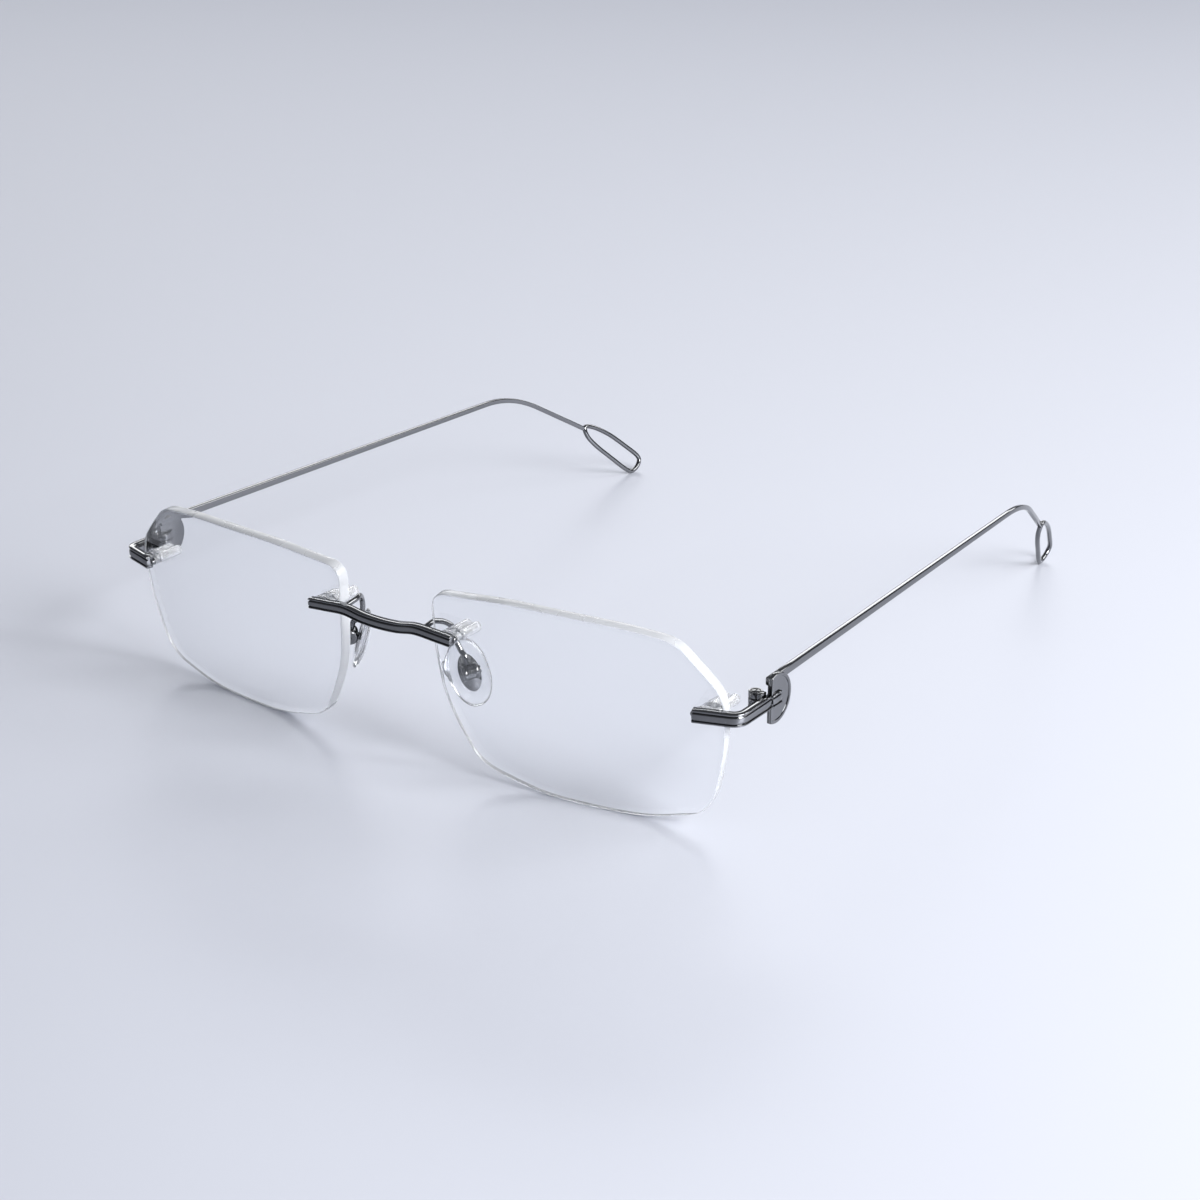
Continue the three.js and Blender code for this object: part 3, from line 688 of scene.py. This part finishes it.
class EYEGLASSES_OT_bridge(bpy.types.Operator):
    """Builds the reeded bridge bar with its bosses and posts"""

    bl_idname = "eyeglasses.bridge"
    bl_label = "Bridge"

    def execute(self, context):
        s = settings("metal")
        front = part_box("bridge")[0].y
        washer = centre_of("left_bridge_washer")
        half = 16 * MM
        y = front + s.bar_depth / 2
        rises = ((0, -0.3), (0.25, -0.1), (0.5, 0.5), (0.78, 0.25), (1, 0))
        right = [Vector((k * half, y, washer.z + rise * MM)) for k, rise in rises]
        left = [Vector((-p.x, p.y, p.z)) for p in reversed(right[1:])]
        path = catmull(left + right, 16)
        bar = sweep(reeded_section(s.bar_depth, s.bridge_height), path, end_round=0.16 * MM)
        back = front + s.bar_depth - 0.35 * MM
        fixings = boss_and_posts("left_bridge_washer", "left_bridge_sleeve", back, Matrix.Identity(4))
        other = [([Vector((-p.x, p.y, p.z)) for p in points], faces) for points, faces in fixings]
        bm = loops_to_shells(bar, *fixings, *other)
        add_piece("bridge_bar", bm, steel(), "front", ["bridge"], 50)
        return {"FINISHED"}


class EYEGLASSES_OT_endpieces(bpy.types.Operator):
    """Builds both reeded endpieces with their hinge knuckles"""

    bl_idname = "eyeglasses.endpieces"
    bl_label = "Endpieces"

    def execute(self, context):
        s = settings("metal")
        hinge = centre_of("left_hinge_screw")
        sweepback = math.radians(18)
        rounding = 1.8  # millimetres along both limbs of the corner
        direction = Vector((math.cos(sweepback), math.sin(sweepback), 0))
        washer = centre_of("left_endpiece_washer")
        side_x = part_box("left_endpiece")[1].x - s.bar_depth / 2
        end_y = hinge.y + HINGE_SETBACK
        corner = Vector((side_x, end_y - 9.1 * MM, hinge.z))
        inner_x = washer.x - 1.45 * MM
        start = corner - direction * ((side_x - inner_x) / direction.x)
        path = [start, start + direction * 2 * MM]
        path += bend(corner - direction * rounding * MM, corner, corner + Y * rounding * MM, 16)
        path += [Vector((side_x, end_y - 2 * MM, hinge.z)), Vector((side_x, end_y, hinge.z))]
        bar = sweep(reeded_section(s.bar_depth, s.endpiece_height), path, end_round=BAR_END_ROUND)
        at_hinge = Matrix.Translation(hinge)
        knuckles, tabs = [], []
        for number in (-1, 1):
            middle = number * KNUCKLE_PITCH
            low, high = middle - KNUCKLE_HALF, middle + KNUCKLE_HALF
            bore = HINGE_HEAD_BORE if number > 0 else HINGE_BORE
            knuckles.append(moved(softened(KNUCKLE_RADIUS, low, high, s.edge, bore), at_hinge))
            tab = softened_box((0.95 * MM, -KNUCKLE_RADIUS, low), (1.7 * MM, HINGE_SETBACK, high), s.edge)
            tabs.append(moved(tab, at_hinge))
        # The screw's head rests on a seat inside the upper knuckle.
        seat = moved(softened(1.1 * MM, 0.7 * MM, 1.2 * MM, 0.01 * MM, HINGE_BORE), at_hinge)
        along = corner - direction * ((side_x - washer.x) / direction.x)
        turn = Matrix.Rotation(sweepback, 4, "Z")
        fixings = boss_and_posts("left_endpiece_washer", "left_endpiece_sleeve",
                                 along.y + 0.35 * MM, turn)
        bm = loops_to_shells(bar, *knuckles, *tabs, seat, *fixings)
        add_pair("endpiece_bar", bm, steel(), "front", "endpiece", 50)
        return {"FINISHED"}


# ---- Temples -------------------------------------------------------------------------------


class EYEGLASSES_OT_temples(bpy.types.Operator):
    """Builds both temples: hinge plate, tapering bar and open end loop"""

    bl_idname = "eyeglasses.temples"
    bl_label = "Temples"

    def execute(self, context):
        s, m = settings("temple"), settings("metal")
        hinge = centre_of("left_hinge_screw")
        thick, rim, step = 0.95 * MM, 0.6 * MM, 0.14 * MM
        rib_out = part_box("left_temple")[1].x
        plate_out = rib_out - 0.35 * MM
        plate_in = plate_out - thick
        front = hinge.y + 0.95 * MM
        radius, setback = 4.5 * MM, 1.8 * MM
        opening = math.acos(-setback / radius)
        outline = [
            (setback + radius * math.cos(t), radius * math.sin(t))
            for t in (opening * (2 * i / 72 - 1) for i in range(73))
        ]
        edge = 0.16 * MM
        sections = []
        for inset, depth in ((edge, 0), (edge * 0.3, edge * 0.3), (0, edge), (0, thick - edge),
                             (edge * 0.3, thick - edge * 0.3), (edge, thick), (rim, thick),
                             (rim + step * 0.4, thick - step)):
            k = 1 - inset / radius
            sections.append([
                Vector((plate_in + depth, front + setback + (y - setback) * k, hinge.z + z * k))
                for y, z in outline
            ])
        plate = rings(sections)
        rib_x = rib_out - m.bar_depth / 2
        rib_path = [Vector((rib_x, front + d * MM, hinge.z)) for d in (0, 1.4, 2.9)]
        rib = sweep(reeded_section(m.bar_depth, m.endpiece_height), rib_path, end_round=BAR_END_ROUND)

        start = Vector((plate_in + 0.1 * MM, front, hinge.z + radius - s.bar_height * 0.65))
        ear = start + Vector((-4.6, 107.4, -0.7)) * MM
        loop = self.loop_points()
        bottom = min(p.z for p in loop) - s.wire / 2
        end = Vector((ear.x - 5.4 * MM, ear.y + 21.3 * MM, -bottom))
        before = ear + (start - ear).normalized() * 9 * MM
        after = ear + (end - ear).normalized() * 9 * MM
        path = [start.lerp(before, i / 12) for i in range(12)] + bend(before, ear, after, 18)
        path += [after.lerp(end, 0.5), end]

        def taper(point):
            share = min((point.y - start.y) / (ear.y - start.y), 1)
            return (
                1 + share * (s.end_width / s.bar_width - 1),
                1 + share * (s.end_height / s.bar_height - 1),
            )

        bar = sweep(rounded_section(s.bar_width, s.bar_height, 0.3 * MM), path, taper, 0.2 * MM)
        at_hinge = Matrix.Translation(hinge)
        knuckle = moved(softened(KNUCKLE_RADIUS, -KNUCKLE_HALF, KNUCKLE_HALF, m.edge, HINGE_BORE), at_hinge)
        # Two overlapping tabs join the knuckle to the plate.
        tabs = [
            moved(softened_box((*low, -KNUCKLE_HALF), (*high, KNUCKLE_HALF), m.edge), at_hinge)
            for low, high in (
                ((0.3 * MM, 0.75 * MM), (1.2 * MM, 1.25 * MM)),
                ((0.8 * MM, 0.96 * MM), (2.2 * MM, 1.35 * MM)),
            )
        ]
        bm = loops_to_shells(plate, rib, bar, knuckle, *tabs)
        add_pair("temple_bar", bm, steel(), "temple", "temple", 50)
        wire = wire_mesh([p + end for p in loop], s.wire / 2, True)
        add_pair("temple_loop", wire, steel(), "temple", None, 60)
        return {"FINISHED"}

    def loop_points(self):
        """The middle line of the loop from its joint with the bar, in a tilted plane."""
        long, wide = 20 * MM, 6.3 * MM
        down = Vector((-0.27, 0.644, -0.716)).normalized()
        side = down.cross(Vector((0.12, 0.76, 0.64))).normalized()
        opens = side.cross(down)
        shape = ((0.01, 0.08), (0.1, -0.13), (0.28, -0.17), (0.55, -0.1), (0.85, 0), (0.965, 0.16),
                 (1.01, 0.57), (0.96, 0.81), (0.73, 0.76), (0.4, 0.61), (0.13, 0.35))
        return catmull([down * a * long + opens * b * wide for a, b in shape], 10, True)


# ---- Wires, made along their paths ---------------------------------------------------------


def wire_tree():
    """Geometry nodes that turn a path of edges into a round wire."""
    tree = bpy.data.node_groups.get("round_wire")
    if tree:
        return tree
    tree = bpy.data.node_groups.new("round_wire", "GeometryNodeTree")
    tree.interface.new_socket("Path", in_out="INPUT", socket_type="NodeSocketGeometry")
    tree.interface.new_socket("Radius", in_out="INPUT", socket_type="NodeSocketFloat")
    tree.interface.new_socket("Material", in_out="INPUT", socket_type="NodeSocketMaterial")
    tree.interface.new_socket("Wire", in_out="OUTPUT", socket_type="NodeSocketGeometry")
    nodes, links = tree.nodes, tree.links
    given, result = nodes.new("NodeGroupInput"), nodes.new("NodeGroupOutput")
    curve = nodes.new("GeometryNodeMeshToCurve")
    circle = nodes.new("GeometryNodeCurvePrimitiveCircle")
    circle.inputs["Resolution"].default_value = 20
    tube = nodes.new("GeometryNodeCurveToMesh")
    tube.inputs["Fill Caps"].default_value = True
    smooth = nodes.new("GeometryNodeSetShadeSmooth")
    real = nodes.new("GeometryNodeRealizeInstances")
    coat = nodes.new("GeometryNodeSetMaterial")
    links.new(given.outputs["Path"], curve.inputs["Mesh"])
    links.new(given.outputs["Radius"], circle.inputs["Radius"])
    links.new(curve.outputs["Curve"], tube.inputs["Curve"])
    links.new(circle.outputs["Curve"], tube.inputs["Profile Curve"])
    links.new(tube.outputs["Mesh"], smooth.inputs["Geometry"])
    links.new(smooth.outputs["Geometry"], real.inputs["Geometry"])
    links.new(real.outputs["Geometry"], coat.inputs["Geometry"])
    links.new(given.outputs["Material"], coat.inputs["Material"])
    links.new(coat.outputs["Geometry"], result.inputs["Wire"])
    return tree


def wire_mesh(points, radius, closed):
    """A round wire along points, baked from the geometry nodes to a plain mesh."""
    mesh = bpy.data.meshes.new("path")
    edges = [(i, i + 1) for i in range(len(points) - 1)]
    if closed:
        edges.append((len(points) - 1, 0))
    mesh.from_pydata(points, edges, [])
    holder = bpy.data.objects.new("path", mesh)
    bpy.context.scene.collection.objects.link(holder)
    modifier = holder.modifiers.new("wire", "NODES")
    modifier.node_group = wire_tree()
    named = {item.name: item.identifier for item in modifier.node_group.interface.items_tree
             if item.in_out == "INPUT"}
    modifier[named["Radius"]] = radius
    modifier[named["Material"]] = steel()
    graph = bpy.context.evaluated_depsgraph_get()
    made = bpy.data.meshes.new_from_object(holder.evaluated_get(graph))
    bm = bmesh.new()
    bm.from_mesh(made)
    bmesh.ops.remove_doubles(bm, verts=bm.verts, dist=1e-8)
    bmesh.ops.recalc_face_normals(bm, faces=bm.faces)
    bpy.data.objects.remove(holder)
    bpy.data.meshes.remove(mesh)
    bpy.data.meshes.remove(made)
    return bm


# ---- Nose pads -----------------------------------------------------------------------------


def pad_frame():
    """The frame at the left pad's screw: X faces the nose and Z runs up the pad."""
    up = Vector((-0.36, -0.03, 0.93)).normalized()
    across = up.cross(Vector((-0.77, 0.64, 0))).normalized()
    facing = across.cross(up)
    screw = bpy.data.objects[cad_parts["left_pad_screw"].name].data
    ends = sorted((v.co.copy() for v in screw.vertices), key=lambda co: co.dot(across))
    tip = [co for co in ends if co.dot(across) > ends[-1].dot(across) - 1e-5]
    middle = (Vector(np.array(tip).min(0)) + Vector(np.array(tip).max(0))) / 2
    turn = Matrix((facing, across, up)).transposed().to_4x4()
    plain_end = 1.55  # millimetres from the middle of the pad's box
    return Matrix.Translation(middle - across * plain_end * MM) @ turn


def pad_shell(place):
    """The soft pad, in rings from the middle of its pocket, over the lip and round to its front."""
    s = settings("pad")
    back, drop = 1.75 * MM, 0.4 * MM
    # Each ring has its share of the half width and its depth in a pad 1.8 mm thick.
    pocket = ((0.02, 0.55), (0.6, 0.55), (1.0, 0.55), (1.0, 0.08), (1.06, 0.0))
    outside = ((0.82, 0.02), (0.92, 0.12), (0.985, 0.3), (1.0, 0.5), (0.975, 0.72), (0.9, 0.98),
               (0.75, 1.28), (0.55, 1.54), (0.3, 1.72), (0.03, 1.8))
    sides, power = 64, 0.92
    sections = []
    for rows, w, h in ((pocket, 2.0 * MM, 3.6 * MM), (outside, s.wide / 2, s.long / 2)):
        for share, depth in rows:
            ring = []
            for i in range(sides):
                t = 2 * math.pi * i / sides
                c, q = math.cos(t), math.sin(t)
                y = w * share * math.copysign(abs(c) ** power, c)
                z = h * share * math.copysign(abs(q) ** power, q)
                ring.append(place @ Vector((back + depth / 1.8 * s.thick, y, z - drop)))
            sections.append(ring)
    return rings(sections)


def arm_path(place):
    """The middle line of the left arm's wire, from the bridge round to the top of the pad's box."""
    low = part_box("left_pad_arm")[0]
    screw = place.translation
    root = centre_of("left_bridge_washer").z
    beside = low.x + settings("pad").wire
    return catmull([
        Vector((beside, low.y, root + 0.4 * MM)),
        Vector((beside, low.y + 3.35 * MM, root + 0.8 * MM)),
        Vector((beside + 0.7 * MM, low.y + 5.35 * MM, root + 0.7 * MM)),
        Vector((beside + 1.8 * MM, screw.y - 0.3 * MM, root - 0.8 * MM)),
        Vector((beside + 2 * MM, screw.y, root - 2.9 * MM)),
        Vector((screw.x - 2.1 * MM, screw.y + 0.1 * MM, screw.z + 3.6 * MM)),
        place @ Vector((0, 0, 3.0 * MM)),
        place @ Vector((0, 0, 1.35 * MM)),
    ], 12)


def box_shells(place):
    """The pad's box: two bored cheeks and the curved web between them."""
    outer, inner = 1.5 * MM, 0.9 * MM
    cheeks = []
    for way in (-1, 1):
        cheek = along_y(softened(outer, 0.55 * MM, 1.45 * MM, 0.34 * MM, 0.4 * MM))
        if way < 0:
            cheek = ([Vector((p.x, -p.y, p.z)) for p in cheek[0]], cheek[1])
        cheeks.append(moved(cheek, place))
    web = []
    for y in (-0.6, 0.6):
        row = [(outer, a) for a in range(60, 231, 10)] + [(inner, a) for a in range(230, 59, -10)]
        web.append([
            place @ Vector((r * math.cos(math.radians(a)), y * MM, r * math.sin(math.radians(a))))
            for r, a in row
        ])
    return [*cheeks, rings(web)]


class EYEGLASSES_OT_pads(bpy.types.Operator):
    """Builds the nose pads, their wire arms and boxes"""

    bl_idname = "eyeglasses.pads"
    bl_label = "Nose pads"

    def execute(self, context):
        place = pad_frame()
        soft = loops_to_shells(pad_shell(place))
        add_pair("nose_pad_soft", soft, silicone_paint(), "nose_pad", "nose_pad", 50)
        core = cad_copy("left_pad_core", 0.05 * MM)
        add_pair("pad_core_plate", core, steel(), "nose_pad", "pad_core")
        wire = wire_mesh(arm_path(place), settings("pad").wire, False)
        bm = loops_to_shells(*box_shells(place))
        join_into(bm, wire)
        add_pair("pad_arm_wire", bm, steel(), "front", "pad_arm", 50)
        return {"FINISHED"}


# ---- Small parts ---------------------------------------------------------------------------


class EYEGLASSES_OT_small_parts(bpy.types.Operator):
    """Builds the screws, washers and clear sleeves"""

    bl_idname = "eyeglasses.small_parts"
    bl_label = "Screws, washers and sleeves"

    def execute(self, context):
        low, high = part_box("left_hinge_screw")
        half = (high.z - low.z) / 2
        screw = slotted_screw(0.4 * MM, 0.78 * MM, -half, half, 0.45 * MM, 0.25 * MM, 0.2 * MM)
        bmesh.ops.translate(screw, vec=centre_of("left_hinge_screw"), verts=screw.verts)
        add_pair("hinge_screw_head", screw, steel(), "front", "hinge_screw")
        screw = slotted_screw(0.32 * MM, 0.7 * MM, -1.55 * MM, 1.9 * MM, 0.35 * MM, 0.22 * MM, 0.15 * MM)
        # The head is at the rear, outer end of the box.
        turn = pad_frame() @ Matrix.Rotation(math.pi / 2, 4, "X")
        bmesh.ops.transform(screw, matrix=turn, verts=screw.verts)
        add_pair("pad_screw_head", screw, steel(), "front", "pad_screw")
        clear = sleeve_paint()
        for name in ("bridge", "endpiece"):
            for part, edge in (("washer", 0.04 * MM), ("sleeve", 0.05 * MM)):
                node = f"{name}_{part}"
                add_pair(f"{node}_clear", cad_copy(f"left_{node}", edge), clear, "front", node)
        return {"FINISHED"}


# ---- Stage ---------------------------------------------------------------------------------


def add_light(name, energy, size, place, target):
    """A soft white panel that faces its target."""
    light = bpy.data.lights.new(name, "AREA")
    light.energy, light.shape, light.size, light.size_y = energy, "RECTANGLE", size[0], size[1]
    lamp = bpy.data.objects.new(name, light)
    bpy.context.scene.collection.objects.link(lamp)
    lamp.location = place
    lamp.rotation_euler = (Vector(target) - Vector(place)).to_track_quat("-Z", "Y").to_euler()


class EYEGLASSES_OT_stage(bpy.types.Operator):
    """Builds the floor, the soft lights and the camera"""

    bl_idname = "eyeglasses.stage"
    bl_label = "Stage"

    def execute(self, context):
        s = settings("stage")
        mesh = bpy.data.meshes.new("floor")
        reach = 6.0
        corners = [(-reach, -reach, 0), (reach, -reach, 0), (reach, reach, 0), (-reach, reach, 0)]
        mesh.from_pydata(corners, [], [(0, 1, 2, 3)])
        mesh.materials.append(floor_paint())
        floor = bpy.data.objects.new("floor", mesh)
        context.scene.collection.objects.link(floor)

        world = bpy.data.worlds.new("studio")
        world.use_nodes = True
        back = world.node_tree.nodes["Background"]
        back.inputs["Color"].default_value = (0.86, 0.9, 1.0, 1)
        back.inputs["Strength"].default_value = 0.22
        context.scene.world = world
        context.scene.view_settings.view_transform = "Standard"

        add_light("back_panel", 7, (2.2, 0.25), (-0.55, 1.25, 0.56), (0, 0, 0))
        add_light("right_window", 12.5, (0.8, 0.8), (1.1, 0.9, 0.9), (0.4, 0.2, 0))
        add_light("side_window", 15.5, (0.5, 0.4), (0.8, -0.12, 0.46), (0.4, -0.15, 0))

        aim = Vector((15.2 * MM, CAD_LOW.y + 46.6 * MM, CAD_HIGH.z * 0.546))
        a, e = s.azimuth, s.elevation
        away = Vector((math.sin(a) * math.cos(e), -math.cos(a) * math.cos(e), math.sin(e)))
        camera = bpy.data.objects.new("camera", bpy.data.cameras.new("camera"))
        camera.data.sensor_width = 36
        camera.data.lens = s.focal
        camera.data.clip_start, camera.data.clip_end = 0.01, 20
        camera.location = aim + away * s.distance
        camera.rotation_euler = (-away).to_track_quat("-Z", "Y").to_euler()
        context.scene.collection.objects.link(camera)
        context.scene.camera = camera
        return {"FINISHED"}


class EYEGLASSES_PT_panel(bpy.types.Panel):
    """Lists the builders and their sizes"""

    bl_label = "Eyeglasses"
    bl_idname = "EYEGLASSES_PT_panel"
    bl_space_type = "VIEW_3D"
    bl_region_type = "UI"
    bl_category = "Eyeglasses"

    def draw(self, context):
        for group, operators in PANEL_ROWS:
            box = self.layout.box()
            for operator in operators:
                box.operator(operator)
            for key in settings(group).__annotations__:
                box.prop(settings(group), key)


GROUPS = {
    "lens": LensSettings,
    "metal": MetalSettings,
    "temple": TempleSettings,
    "pad": PadSettings,
    "stage": StageSettings,
}
OPERATORS = (
    EYEGLASSES_OT_lenses,
    EYEGLASSES_OT_bridge,
    EYEGLASSES_OT_endpieces,
    EYEGLASSES_OT_temples,
    EYEGLASSES_OT_pads,
    EYEGLASSES_OT_small_parts,
    EYEGLASSES_OT_stage,
)
PANEL_ROWS = (
    ("lens", ["eyeglasses.lenses"]),
    ("metal", ["eyeglasses.bridge", "eyeglasses.endpieces", "eyeglasses.small_parts"]),
    ("temple", ["eyeglasses.temples"]),
    ("pad", ["eyeglasses.pads"]),
    ("stage", ["eyeglasses.stage"]),
)


def register():
    for cls in (*GROUPS.values(), *OPERATORS, EYEGLASSES_PT_panel):
        bpy.utils.register_class(cls)
    for name, cls in GROUPS.items():
        setattr(bpy.types.Scene, "eyeglasses_" + name, bpy.props.PointerProperty(type=cls))


def unregister():
    for name in GROUPS:
        delattr(bpy.types.Scene, "eyeglasses_" + name)
    for cls in reversed((*GROUPS.values(), *OPERATORS, EYEGLASSES_PT_panel)):
        bpy.utils.unregister_class(cls)


def main():
    register()
    bpy.ops.eyeglasses.lenses()
    bpy.ops.eyeglasses.bridge()
    bpy.ops.eyeglasses.endpieces()
    bpy.ops.eyeglasses.temples()
    bpy.ops.eyeglasses.pads()
    bpy.ops.eyeglasses.small_parts()
    bpy.ops.eyeglasses.stage()


if __name__ == "__main__":
    main()
